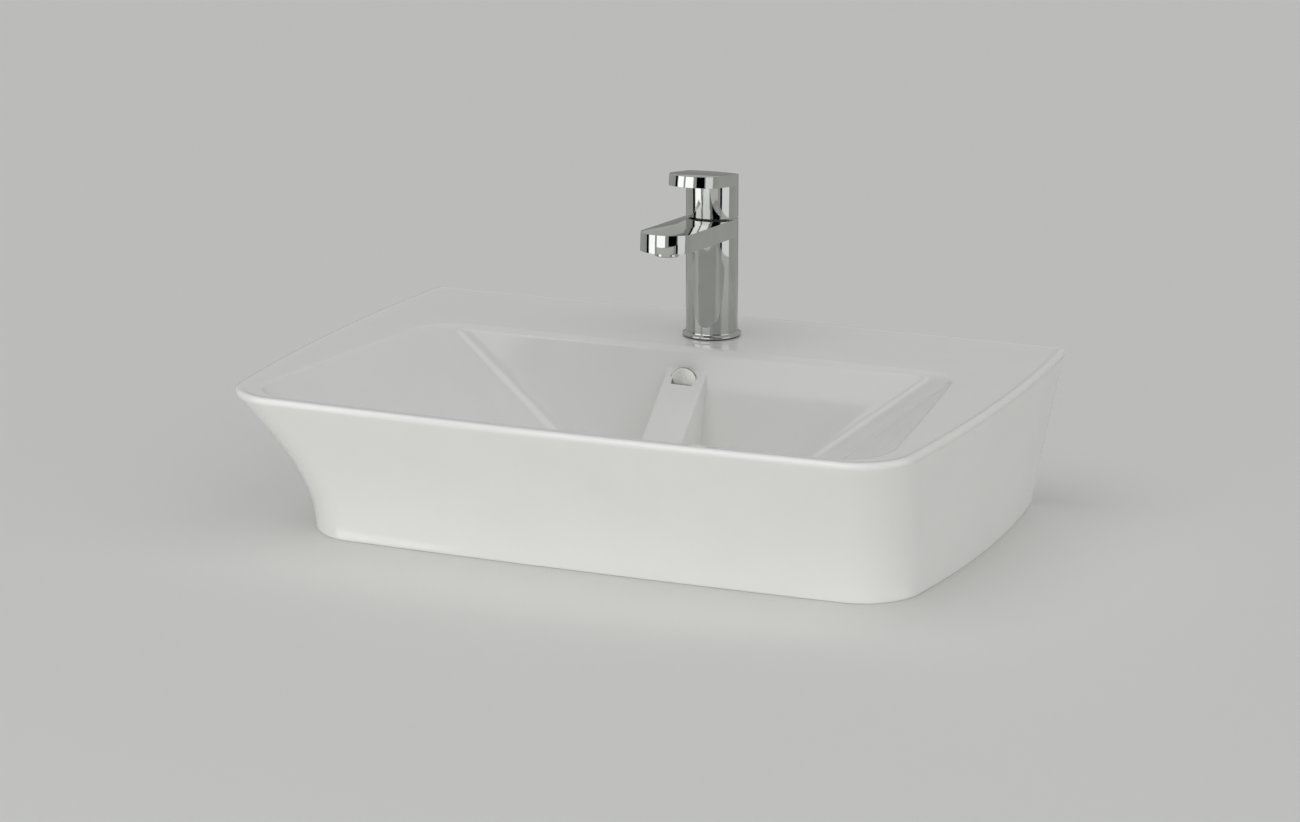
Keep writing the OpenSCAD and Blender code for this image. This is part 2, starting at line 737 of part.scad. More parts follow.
// Fixing under the ledge
stud_r = 4;
under_deck_z = rim_z - deck_t;
clamp_rubber_t = 2.5;
plate_t = 2;
plate_r = 24;
nut_r = 6.6;
nut_h = 14;
rubber_z = under_deck_z - soft_gap - clamp_rubber_t;
plate_z = rubber_z - soft_gap - plate_t;
fixing_nut_z = plate_z - soft_gap - nut_h;
stud_y = 11;
hose_slot_w = 14;
hose_slot_back = 3;
stud_grip = 11;
stud_tail = 10;
module horseshoe(h, r) {
    linear_extrude(h)
        difference() {
            circle(r = r);
            translate([-hose_slot_w, -r - 1])
                square([2 * hose_slot_w, r + 1 + hose_slot_back]);
            translate([0, stud_y])
                circle(r = stud_r + 0.3);
        }
}
module fixing_stud() {
    color(steel)
        at_tap(fixing_nut_z - stud_tail)
            translate([0, stud_y, 0])
                cylinder(h = web_z + stud_grip - seat_gap - fixing_nut_z + stud_tail, r = stud_r);
}
module clamp_rubber() {
    color(rubber)
        at_tap(rubber_z)
            horseshoe(clamp_rubber_t, plate_r);
}
module clamp_plate() {
    color(steel)
        at_tap(plate_z)
            horseshoe(plate_t, plate_r);
}
module fixing_nut() {
    color(brass)
        at_tap(fixing_nut_z)
            translate([0, stud_y, 0])
                difference() {
                    cylinder(h = nut_h, r = nut_r, $fn = 6);
                    translate([0, 0, -1])
                        cylinder(h = nut_h + 2, r = stud_r + running_gap);
                }
}

// Cartridge: a stack on the column's axis, from the inlet seals up to the lever's pivot
pivot_z = split_z + pivot_rise;
ball_z = pivot_z - stem_drop;
ball_r = 2;
carrier_low = ball_z - 2.5;
carrier_top = ball_z + 1.5;
moving_z = carrier_low - disc_t;
fixed_z = moving_z - disc_t;
cartridge_base_t = 5;
cartridge_base_z = fixed_z - cartridge_base_t;
inlet_seal_t = 1.5;
cartridge_z = cartridge_base_z - inlet_seal_t;
bore_r = cartridge_r + seat_gap;
nut_seat_z = split_z - 9;
nut_flange_t = 2;
nut_thread_r = cartridge_r + 2.6;
housing_in_r = cartridge_r - 1.4;
housing_top_z = split_z + 6.5;
housing_lid_t = 1.6;
turret_r = 9.5;
turret_flange_r = housing_in_r - running_gap;
turret_top_z = pivot_z + 4;
stem_w = 5;
slot_half = stem_w / 2 + 0.1;
port_r = 2.6;
outlet_y = 5;
port_seal_r = 3.5;
seal_ring_t = 1.4;
carrier_half = 6.4;
stem_swing = stem_drop * sin(lift_angle);
module inlet_seals() {
    color(rubber)
        at_tap(cartridge_z + soft_gap)
            for (s = [-1, 1])
                translate([s * inlet_x, inlet_y, 0])
                    difference() {
                        cylinder(h = inlet_seal_t - 2 * soft_gap, r = port_seal_r + seal_ring_t);
                        translate([0, 0, -1])
                            cylinder(h = inlet_seal_t + 2, r = port_seal_r);
                    }
}
module cartridge_base() {
    color(plastic)
        at_tap(cartridge_base_z)
            difference() {
                cylinder(h = cartridge_base_t, r = housing_in_r - seat_gap);
                for (s = [-1, 1])
                    translate([s * inlet_x, inlet_y, -1])
                        cylinder(h = cartridge_base_t + 2, r = port_r);
                translate([0, outlet_y, 1.5])
                    cylinder(h = cartridge_base_t, r = port_r);
                translate([0, 6, 3])
                    rotate([90, 0, 0])
                        cylinder(h = 30, r = 1.5);
            }
}
module fixed_disc() {
    color(disc_white)
        at_tap(fixed_z)
            difference() {
                cylinder(h = disc_t, r = disc_r + 1.5);
                for (s = [-1, 1])
                    translate([s * (inlet_x - 1.5), inlet_y + 1, -1])
                        cylinder(h = disc_t + 2, r = 1.8);
                translate([0, outlet_y, -1])
                    cylinder(h = disc_t + 2, r = port_r - 0.2);
            }
}
module moving_disc() {
    color(disc_white)
        at_tap(moving_z)
            difference() {
                cylinder(h = disc_t, r = disc_r);
                translate([0, -1, -1])
                    cylinder(h = disc_t - 0.6, r = 4.6);
            }
}
module disc_carrier() {
    color(plastic)
        at_tap(carrier_low)
            difference() {
                intersection() {
                    cylinder(h = carrier_top - carrier_low, r = disc_r - 1);
                    translate([-carrier_half, -20, -1])
                        cube([2 * carrier_half, 40, 10]);
                }
                translate([0, pivot_back, ball_z - ball_r - seat_gap - carrier_low])
                    cylinder(h = 5, r = ball_r + seat_gap);
            }
}
module cartridge_housing() {
    color(plastic)
        at_tap(0)
            difference() {
                union() {
                    translate([0, 0, cartridge_base_z])
                        cylinder(h = housing_top_z - cartridge_base_z, r = cartridge_r);
                    translate([0, 0, nut_seat_z])
                        cylinder(h = nut_flange_t, r = nut_thread_r - seat_gap);
                }
                translate([0, 0, cartridge_base_z - 1])
                    cylinder(h = housing_top_z - housing_lid_t - cartridge_base_z + 1, r = housing_in_r);
                translate([0, 0, housing_top_z - 4])
                    cylinder(h = 6, r = turret_r + running_gap);
                translate([0, 0, cartridge_base_z + 3])
                    rotate([90, 0, 0])
                        cylinder(h = 30, r = port_r);
            }
}
module retaining_nut() {
    low = nut_seat_z + nut_flange_t + seat_gap / 2;
    high = split_z - column_r * tan(spout_tilt) - 0.4;
    color(brass)
        at_tap(low)
            difference() {
                cylinder(h = high - low, r = nut_thread_r - running_gap);
                translate([0, 0, -1])
                    cylinder(h = high - low + 2, r = cartridge_r + seat_gap);
                for (a = [0:60:300])
                    rotate(a)
                        translate([nut_thread_r - 1.6, -1.5, high - low - 2])
                            cube([3, 3, 4]);
            }
}
module cartridge_turret() {
    low = carrier_top + seat_gap;
    flange_top = housing_top_z - housing_lid_t - seat_gap;
    color(plastic)
        at_tap(0)
            difference() {
                union() {
                    translate([0, 0, low])
                        cylinder(h = flange_top - low, r = turret_flange_r);
                    translate([0, 0, low])
                        cylinder(h = turret_top_z - low, r = turret_r);
                    for (s = [-1, 1])
                        translate([s * (carrier_half + seat_gap + 1.2) - 1.2, -4, carrier_low + seat_gap])
                            cube([2.4, 8, low - carrier_low]);
                }
                translate([-slot_half, pivot_back - slot_half - stem_swing - 0.4, low - 1])
                    cube([2 * slot_half, 2 * slot_half + stem_swing + 1.9, 40]);
                translate([-20, pivot_back, pivot_z])
                    rotate([0, 90, 0])
                        cylinder(h = 40, r = pivot_r + running_gap);
            }
}
pin_half = sqrt(turret_r * turret_r - pivot_back * pivot_back) - 0.6;
module at_pivot() {
    translate([0, pivot_back - tap_y, pivot_z])
        children();
}
module pivot_pin() {
    color(steel)
        at_pivot()
            translate([-pin_half, 0, 0])
                rotate([0, 90, 0])
                    cylinder(h = 2 * pin_half, r = pivot_r);
}
socket_z = split_z + 18;
stem_top_z = socket_z + 10;
module lever_stem() {
    color(steel)
        at_pivot()
            difference() {
                union() {
                    translate([-stem_w / 2, -stem_w / 2, -3])
                        cube([stem_w, stem_w, stem_top_z - pivot_z + 3]);
                    translate([0, 0, -stem_drop])
                        cylinder(h = stem_drop - 2, r = 1.4);
                    translate([0, 0, -stem_drop])
                        sphere(r = ball_r);
                }
                translate([-10, 0, 0])
                    rotate([0, 90, 0])
                        cylinder(h = 20, r = pivot_r + running_gap);
            }
}
// Handle: a neck as wide as the column under a nosed bar with a crowned top.
// Its foot follows the spout's tilt, and is cut back at the rear so that the lever can lift.
foot_gap = split_gap + 2 * column_r * tan(spout_tilt) * sin(swing_angle / 2);
relief_y = pivot_back * cos(spout_tilt) - (pivot_rise - foot_gap) * sin(spout_tilt);
neck_in_r = column_r - neck_wall;
crown_r = 420;
lever_mid = lever_reach / 2;
screw_z = socket_z + 5;
screw_r = 2.2;
screw_l = 8;
screw_cap_r = screw_r + 0.8;
screw_cap_y = neck_in_r - 1;
module tap_handle() {
    color(chrome)
        at_tap(0)
            difference() {
                union() {
                    translate([0, 0, split_z - 5])
                        cylinder(h = lever_rise - 3, r = column_r);
                    intersection() {
                        tilted(split_z + lever_rise - lever_t, lever_tilt)
                            linear_extrude(lever_t)
                                union() {
                                    nosed_bar(lever_reach, column_r - 0.05);
                                    circle(r = column_r - 0.05);
                                }
                        tilted(split_z + lever_rise, lever_tilt)
                            translate([0, -lever_mid, -crown_r])
                                sphere(r = crown_r, $fn = 200);
                    }
                }
                tilted(split_z + foot_gap, spout_tilt)
                    translate([-block, -block, -2 * block])
                        cube(2 * block);
                tilted(split_z + foot_gap, spout_tilt)
                    translate([-block, relief_y, 0])
                        rotate([lift_angle, 0, 0])
                            translate([0, 0, -block])
                                cube([2 * block, block, block]);
                translate([0, 0, split_z - 6])
                    cylinder(h = socket_z - split_z + 6, r = neck_in_r);
                translate([-stem_w / 2 - seat_gap, pivot_back - stem_w / 2 - seat_gap, socket_z - 1])
                    cube([stem_w + 2 * seat_gap, stem_w + 2 * seat_gap, stem_top_z - socket_z + 1.2]);
                translate([0, pivot_back, screw_z])
                    rotate([-90, 0, 0])
                        cylinder(h = 30, r = screw_r);
                translate([0, screw_cap_y, screw_z])
                    rotate([-90, 0, 0])
                        cylinder(h = 10, r = screw_cap_r);
            }
}
module handle_screw() {
    color(steel)
        at_tap(screw_z)
            translate([0, pivot_back + stem_w / 2 + seat_gap / 2, 0])
                rotate([-90, 0, 0])
                    difference() {
                        cylinder(h = screw_l, r = screw_r - running_gap);
                        translate([0, 0, screw_l - 3])
                            cylinder(h = 4, r = 1.2, $fn = 6);
                    }
}
module screw_cap() {
    color(plastic)
        at_tap(screw_z)
            intersection() {
                translate([0, screw_cap_y + seat_gap, 0])
                    rotate([-90, 0, 0])
                        cylinder(h = 6, r = screw_cap_r - running_gap);
                translate([0, 0, -10])
                    cylinder(h = 20, r = column_r);
            }
}

basin_ceramic();
overflow_insert();
overflow_cap();
waste_body();
flange_seal();
waste_gasket();
waste_washer();
waste_nut();
plug_cap();
plug_seal();
plug_stem();
plug_guide();
plug_spring();
base_gasket();
base_ring();
tap_body();
fixing_stud();
clamp_rubber();
clamp_plate();
fixing_nut();
aerator_housing();
aerator_insert();
aerator_seal();
cartridge_base();
inlet_seals();
cartridge_housing();
fixed_disc();
moving_disc();
disc_carrier();
cartridge_turret();
retaining_nut();
pivot_pin();
lever_stem();
tap_handle();
handle_screw();
screw_cap();
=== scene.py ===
import math

import bmesh
import bpy
from mathutils import Matrix, Vector


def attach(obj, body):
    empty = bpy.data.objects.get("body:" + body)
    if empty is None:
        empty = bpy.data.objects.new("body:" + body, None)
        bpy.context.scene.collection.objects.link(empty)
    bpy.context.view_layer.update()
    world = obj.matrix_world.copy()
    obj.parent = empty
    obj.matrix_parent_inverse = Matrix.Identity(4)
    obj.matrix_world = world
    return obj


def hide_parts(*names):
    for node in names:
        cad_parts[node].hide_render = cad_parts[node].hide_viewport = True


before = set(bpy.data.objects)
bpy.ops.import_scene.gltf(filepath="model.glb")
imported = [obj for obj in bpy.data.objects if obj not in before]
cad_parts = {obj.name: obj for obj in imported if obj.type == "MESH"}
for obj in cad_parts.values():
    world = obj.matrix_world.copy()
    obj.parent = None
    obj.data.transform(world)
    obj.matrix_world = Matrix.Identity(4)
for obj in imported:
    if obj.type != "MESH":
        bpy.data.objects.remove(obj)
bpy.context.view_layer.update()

MM = 0.001


# Camera

def aim_camera():
    """The photograph's own viewpoint: a long lens to the right of the basin and above it."""
    azimuth, elevation = math.radians(23.130), math.radians(14.743)
    right = Vector((math.cos(azimuth), math.sin(azimuth), 0))
    back = Vector((math.sin(azimuth) * math.cos(elevation), -math.cos(azimuth) * math.cos(elevation),
                   math.sin(elevation)))
    turn = Matrix((right, back.cross(right), back)).transposed()
    data = bpy.data.cameras.new("view")
    data.sensor_fit = "HORIZONTAL"
    data.sensor_width = 36
    data.lens = 120.25
    data.clip_start, data.clip_end = 0.05, 60
    camera = bpy.data.objects.new("view", data)
    camera.matrix_world = Matrix.Translation((1.35534, -3.37753, 0.94135)) @ turn.to_4x4()
    bpy.context.scene.collection.objects.link(camera)
    bpy.context.scene.camera = camera


aim_camera()


# Sizes, in millimetres, as the part has them

BASE_Z, RIM_Z, DECK_Z, FLOOR_Z = -70.0, 69.0, 68.4, -37.0
EDGE_Z, WALL_FOOT_Z = RIM_Z - 6, FLOOR_Z + 13
UNDER_RIM_Z = RIM_Z - 6.5
WALL_T, BOWL_T, DECK_T = 11.0, 12.0, 13.0
SEAT_R, SEAT_Z, WASTE_HOLE_R = 33.5, -40.0, 22.5
PAD_R = SEAT_R + 3
BOSS_R, BOSS_Z, UNDER_Z = 34.5, FLOOR_Z - 25, FLOOR_Z - 12
WASTE = Vector((0, -226))
DUCT_SLOT_Z = FLOOR_Z - 16.5
TAP_Y = -71.5
COLUMN_R = 22.0
SPLIT_Z = DECK_Z + 101.5
SPOUT_T, SPOUT_TILT, SPOUT_REACH = 15.5, math.radians(3.9), 98.0
LEVER_T, LEVER_TILT, LEVER_REACH, LEVER_RISE = 11.0, math.radians(7.8), 38.0, 39.5
LIFT = math.radians(18)
SWING = math.radians(45)
FOOT_GAP = 0.12 + 2 * COLUMN_R * math.tan(SPOUT_TILT) * math.sin(SWING / 2)
BODY_Z = DECK_Z + 1.05 + 4
WEB_Z = BODY_Z + 26
CARTRIDGE_Z = 153.9
OVERFLOW_Z = 40.0
OVERFLOW_TILT = math.atan(17 / (EDGE_Z - WALL_FOOT_Z))
OVERFLOW_Y = -119 - 5 - 17 * (EDGE_Z - OVERFLOW_Z) / (EDGE_Z - WALL_FOOT_Z)

# Plan outlines: back y, back half width, middle half width, front half width, front y,
# back corner radius, front corner radius, bow of the front edge
RIM = (0, 291.5, 299.95, 285.5, -419, 5, 42, 5)
FOOT = (0, 263.5, 274, 257.5, -332, 5, 42, 3)
BOWL = (-119, 235, 256, 273, -406, 28, 46, 4)
FLOOR = (-141, 118, 141.5, 165, -300, 22, 40, 3)
COUNTS = (20, 6, 40, 18, 24)
SIDE_START = COUNTS[0] + COUNTS[1]
SIDE_END = SIDE_START + COUNTS[2]
FRONT_START = SIDE_END + COUNTS[3]
HALF_N = FRONT_START + COUNTS[4]
RING_N = 2 * HALF_N


# Share of the way to a corner at which a cubic's handles make the corner near round
ROUND = 0.55
# Rounding of the ceramic's edges at the waste seat, and where its middle ring lies
EASE, EASE_MID = 0.8, 0.23
# Height of the hollow's roof at the front, under the bowl
HOLLOW_FRONT_Z = BASE_Z + (RIM_Z - BASE_Z) * 0.55


def mix(a, b, t):
    return a + (b - a) * t


def smooth(t):
    t = min(1, max(0, t))
    return t * t * (3 - 2 * t)


def bend(p, q, r, s, t):
    """A point on the cubic curve from p to s."""
    return (1 - t) ** 3 * p + 3 * t * (1 - t) ** 2 * q + 3 * t * t * (1 - t) * r + t ** 3 * s


def inset(o, d, back=None):
    back = d if back is None else back
    return (o[0] - back, o[1] - d, o[2] - d, o[3] - d, o[4] + d, max(1, o[5] - d), max(4, o[6] - d), o[7])


def side_x(o, v):
    return o[1] * (1 - v) + o[3] * v + 4 * (o[2] - (o[1] + o[3]) / 2) * v * (1 - v)


def half_point(o, i):
    """Point i on the outline's right half, from the middle of the back to the middle of the front."""
    length = o[0] - o[4]
    va, vb = o[5] / length, 1 - (o[6] + o[7]) / length
    back_end = Vector((side_x(o, 0) - o[5], o[0]))
    side_a = Vector((side_x(o, va), o[0] - o[5]))
    side_b = Vector((side_x(o, vb), o[0] - vb * length))
    front_a = Vector((side_x(o, 1) - o[6], o[4] + o[7]))
    if i <= COUNTS[0]:
        return Vector((back_end.x * i / COUNTS[0], o[0]))
    if i <= SIDE_START:
        k = Vector((side_x(o, 0), o[0]))
        t = (i - COUNTS[0]) / COUNTS[1]
        return bend(back_end, mix(back_end, k, ROUND), mix(side_a, k, ROUND), side_a, t)
    if i <= SIDE_END:
        v = mix(va, vb, (i - SIDE_START) / COUNTS[2])
        return Vector((side_x(o, v), o[0] - v * length))
    if i <= FRONT_START:
        k = Vector((side_x(o, 1), front_a.y))
        t = (i - SIDE_END) / COUNTS[3]
        return bend(side_b, mix(side_b, k, ROUND), mix(front_a, k, ROUND), front_a, t)
    x = front_a.x * (HALF_N - i) / COUNTS[4]
    return Vector((x, o[4] + o[7] * (x / front_a.x) ** 2))


def plan(o):
    """The whole outline as a list of plan points."""
    half = [half_point(o, i) for i in range(HALF_N + 1)]
    return half + [Vector((-p.x, p.y)) for p in half[HALF_N - 1:0:-1]]


def half_index(i):
    return i if i <= HALF_N else RING_N - i


def level(o, z):
    return [p.to_3d() + Vector((0, 0, z)) for p in plan(o)]


def round_ring(r, z):
    """A circle about the waste whose points face those of the bowl's floor."""
    ring = []
    for p in plan(FLOOR):
        q = WASTE + (p - WASTE).normalized() * r
        ring.append(Vector((q.x, q.y, z)))
    return ring


def mix_rings(a, b, t):
    return [mix(p, q, t) for p, q in zip(a, b)]


def curve_rings(a, b, c, d, count):
    """Rings along a cubic curve from ring a to ring d, without ring a itself."""
    return [[bend(p, q, r, s, k / count) for p, q, r, s in zip(a, b, c, d)] for k in range(1, count + 1)]


def apron_ring(t, d):
    """The flared apron at share t of its height. The flare grows from the wall to the front corners."""
    z = mix(BASE_Z, UNDER_RIM_Z, t)
    low, high = plan(inset(FOOT, d)), plan(inset(RIM, 1.5 + d, d))
    ring = []
    for i, (p, q) in enumerate(zip(low, high)):
        weight = smooth((half_index(i) - SIDE_START) / COUNTS[2])
        f = mix(t, t * t * (1.5 - 0.5 * t), weight)
        p = mix(p, q, f)
        ring.append(Vector((p.x, p.y, z)))
    return ring


def bowl_ring(a, d=0):
    """The bowl's straight wall, from its rounded edge at a = 0 to its foot at a = 1."""
    z = mix(EDGE_Z, WALL_FOOT_Z, a)
    return [mix(p, q, a).to_3d() + Vector((0, 0, z))
            for p, q in zip(plan(inset(BOWL, 5 - d)), plan(inset(FLOOR, -d)))]


def hollow_ring(wall, q):
    """The underside's hollow: its outer wall behind the apron, or its inner wall round the bowl."""
    z_low = BASE_Z if wall == "apron" else UNDER_Z + 8
    rings = {}
    ring = []
    for i in range(RING_N):
        forward = smooth((half_index(i) - SIDE_START) / COUNTS[2] * 2 - 1)
        top = mix(RIM_Z - DECK_T, HOLLOW_FRONT_Z, forward)
        z = round(mix(z_low, top, q), 3)
        if z not in rings:
            t = (z - BASE_Z) / (UNDER_RIM_Z - BASE_Z)
            a = 1 - min(1, max(0, (z - WALL_FOOT_Z) / (EDGE_Z - WALL_FOOT_Z)))
            rings[z] = apron_ring(t, WALL_T) if wall == "apron" else bowl_ring(a, BOWL_T)
        p = rings[z][i]
        ring.append(Vector((p.x, p.y, z)))
    return ring


# Mesh helpers

def keep(bm, name, angle=35):
    """Closes off a bmesh in millimetres as an object in metres, smooth but for edges sharper than angle."""
    bmesh.ops.remove_doubles(bm, verts=bm.verts, dist=0.0005)
    bmesh.ops.recalc_face_normals(bm, faces=bm.faces)
    bmesh.ops.scale(bm, vec=(MM, MM, MM), verts=bm.verts)
    mesh = bpy.data.meshes.new(name)
    bm.to_mesh(mesh)
    bm.free()
    mesh.shade_smooth()
    mesh.set_sharp_from_angle(angle=math.radians(angle))
    piece = bpy.data.objects.new(name, mesh)
    bpy.context.scene.collection.objects.link(piece)
    return piece


def place(bm, at=(0, 0, 0), tilt=0.0):
    """Tilts the bmesh about the X axis, then moves it, in millimetres."""
    bmesh.ops.rotate(bm, cent=(0, 0, 0), matrix=Matrix.Rotation(tilt, 3, "X"), verts=bm.verts)
    bmesh.ops.translate(bm, vec=at, verts=bm.verts)


def turned_mesh(profile, steps=96, at=(0, 0, 0), tilt=0.0):
    """A closed profile of (radius, height) spun about the Z axis."""
    bm = bmesh.new()
    verts = [bm.verts.new((r, 0, z)) for r, z in profile]
    edges = [bm.edges.new((verts[k], verts[(k + 1) % len(verts)])) for k in range(len(verts))]
    bmesh.ops.spin(bm, geom=verts + edges, cent=(0, 0, 0), axis=(0, 0, 1), angle=math.tau, steps=steps,
                   use_merge=True, use_duplicate=False)
    bmesh.ops.remove_doubles(bm, verts=bm.verts, dist=0.0005)
    bmesh.ops.dissolve_degenerate(bm, edges=bm.edges, dist=0.0005)
    place(bm, at, tilt)
    return bm


def rounded(profile, radius, steps=4):
    """The same closed profile with each corner rounded; a corner given as (r, z, radius) has its own."""
    out = []
    for k, corner in enumerate(profile):
        p = Vector(corner[:2])
        a = Vector(profile[k - 1][:2]) - p
        b = Vector(profile[(k + 1) % len(profile)][:2]) - p
        cut = min(corner[2] if len(corner) > 2 else radius, a.length * .48, b.length * .48)
        if cut <= 0 or p.x <= 0.001:
            out.append(tuple(p))
            continue
        start, end = p + a.normalized() * cut, p + b.normalized() * cut
        near, far = mix(start, p, ROUND), mix(end, p, ROUND)
        out += [tuple(bend(start, near, far, end, j / steps)) for j in range(steps + 1)]
    return out


def cut(piece, *tools, joined=()):
    """Joins the closed forms to a piece, then cuts the closed tools out of it, and deletes them all."""
    for tool in (*joined, *tools):
        m = piece.modifiers.new("cut", "BOOLEAN")
        m.operation, m.solver, m.object = "UNION" if tool in joined else "DIFFERENCE", "EXACT", tool
    bpy.context.view_layer.update()
    done = bpy.data.meshes.new_from_object(piece.evaluated_get(bpy.context.evaluated_depsgraph_get()))
    piece.modifiers.clear()
    old, piece.data = piece.data, done
    done.name = piece.name
    bpy.data.meshes.remove(old)
    for tool in (*joined, *tools):
        data = tool.data
        bpy.data.objects.remove(tool)
        bpy.data.meshes.remove(data)
    bm = bmesh.new()
    bm.from_mesh(done)
    bmesh.ops.remove_doubles(bm, verts=bm.verts, dist=1e-7)
    bm.to_mesh(done)
    bm.free()
    done.shade_smooth()
    done.set_sharp_from_angle(angle=math.radians(35))
    return piece


def drill(r, low, high, at=(0, 0, 0), tilt=0.0, steps=64):
    """A plain round cutter."""
    bm = bmesh.new()
    bmesh.ops.create_cone(bm, cap_ends=True, segments=steps, radius1=r, radius2=r, depth=high - low)
    bmesh.ops.translate(bm, vec=(0, 0, (low + high) / 2), verts=bm.verts)
    place(bm, at, tilt)
    return keep(bm, "cutter")


def block(low, high, at=(0, 0, 0), tilt=0.0, turn=0.0):
    """A plain square cutter, turned about the Z axis first."""
    bm = bmesh.new()
    bmesh.ops.create_cube(bm, size=1)
    size = [b - a for a, b in zip(low, high)]
    bmesh.ops.scale(bm, vec=size, verts=bm.verts)
    bmesh.ops.translate(bm, vec=[(a + b) / 2 for a, b in zip(low, high)], verts=bm.verts)
    bmesh.ops.rotate(bm, cent=(0, 0, 0), matrix=Matrix.Rotation(turn, 3, "Z"), verts=bm.verts)
    place(bm, at, tilt)
    return keep(bm, "cutter")


# The glazed basin

def basin_rings():
    """All rings of the ceramic, from the waste hole up through the bowl, over the rim and back underneath."""
    rings = [round_ring(r, z) for r, z in (
        (WASTE_HOLE_R, BOSS_Z + 0.6), (WASTE_HOLE_R, SEAT_Z - EASE),
        (WASTE_HOLE_R + EASE_MID, SEAT_Z - EASE_MID), (WASTE_HOLE_R + EASE, SEAT_Z),
        (SEAT_R - EASE, SEAT_Z), (SEAT_R - EASE_MID, SEAT_Z + EASE_MID), (SEAT_R, SEAT_Z + EASE),
        (SEAT_R, FLOOR_Z - EASE), (SEAT_R + EASE_MID, FLOOR_Z - EASE_MID), (SEAT_R + EASE, FLOOR_Z),
        (PAD_R, FLOOR_Z))]
    pad, floor_edge = rings[-1], level(inset(FLOOR, 18), FLOOR_Z + 1.4)
    for k in range(1, 9):
        s = k / 8
        ring = mix_rings(pad, floor_edge, s)
        rings.append([Vector((p.x, p.y, FLOOR_Z + 1.4 * s ** 1.4)) for p in ring])
    rings += curve_rings(rings[-1], level(inset(FLOOR, 11), FLOOR_Z + 2.4), bowl_ring(1.07), bowl_ring(1), 12)
    rings += [bowl_ring(1 - k / 14) for k in range(1, 15)]
    rings += curve_rings(rings[-1], bowl_ring(-0.045), level(inset(BOWL, -0.5), DECK_Z),
                         level(inset(BOWL, -4), DECK_Z), 9)
    deck_end = level(inset(RIM, 8, 6), DECK_Z)
    rings += [mix_rings(rings[-1], deck_end, k / 4) for k in range(1, 5)]
    crest = level(inset(RIM, 3, 1.4), RIM_Z)
    side = level(RIM, RIM_Z - 3.2)
    rings += curve_rings(deck_end, level(inset(RIM, 6, 4), DECK_Z), level(inset(RIM, 4.8, 2.8), RIM_Z),
                         crest, 6)
    rings += curve_rings(crest, level(inset(RIM, 1.1, 0.4), RIM_Z), level(RIM, RIM_Z - 1.4), side, 7)
    rings += curve_rings(side, level(RIM, RIM_Z - 4.6), level(inset(RIM, 0.7, 0), RIM_Z - 5.6),
                         apron_ring(1, 0), 6)
    rings += [apron_ring(1 - k / 40, 0) for k in range(1, 40)]
    rings += curve_rings(rings[-1], level(inset(FOOT, 0, 0), BASE_Z + 1.2),
                         level(inset(FOOT, 0.4, 0), BASE_Z), level(inset(FOOT, 2, 0), BASE_Z), 5)
    rings += [level(inset(FOOT, WALL_T - 1, WALL_T - 1), BASE_Z)]
    rings += [hollow_ring("apron", q) for q in (0.01, 0.1, 0.2, 0.3, 0.4, 0.5, 0.6, 0.7, 0.8, 0.9, 0.98)]
    rings += [hollow_ring("bowl", q) for q in (0.98, 0.9, 0.8, 0.7, 0.6, 0.5, 0.4, 0.3, 0.2, 0.1, 0)]
    rings += [level(inset(FLOOR, 4 - BOWL_T), UNDER_Z + 2), level(inset(FLOOR, 8), UNDER_Z),
              round_ring(BOSS_R + 6, UNDER_Z - 1), round_ring(BOSS_R + 1.5, UNDER_Z - 3),
              round_ring(BOSS_R, BOSS_Z + 2),
              round_ring(BOSS_R - 0.6, BOSS_Z + 0.5), round_ring(BOSS_R - 2, BOSS_Z),
              round_ring(WASTE_HOLE_R + 0.6, BOSS_Z), rings[0]]
    return rings


def loft(rings, name):
    """Extrudes a closed ring of edges from ring to ring."""
    bm = bmesh.new()
    place_of = bm.verts.layers.int.new("place")
    made = bmesh.ops.create_circle(bm, segments=len(rings[0]), radius=1)["verts"]
    ring = list({e for v in made for e in v.link_edges})
    for i, v in enumerate(made):
        v[place_of] = i
        v.co = rings[0][i]
    for points in rings[1:]:
        made = bmesh.ops.extrude_edge_only(bm, edges=ring)["geom"]
        ring = [e for e in made if isinstance(e, bmesh.types.BMEdge)]
        for v in made:
            if isinstance(v, bmesh.types.BMVert):
                v.co = points[v[place_of]]
    return keep(bm, name)


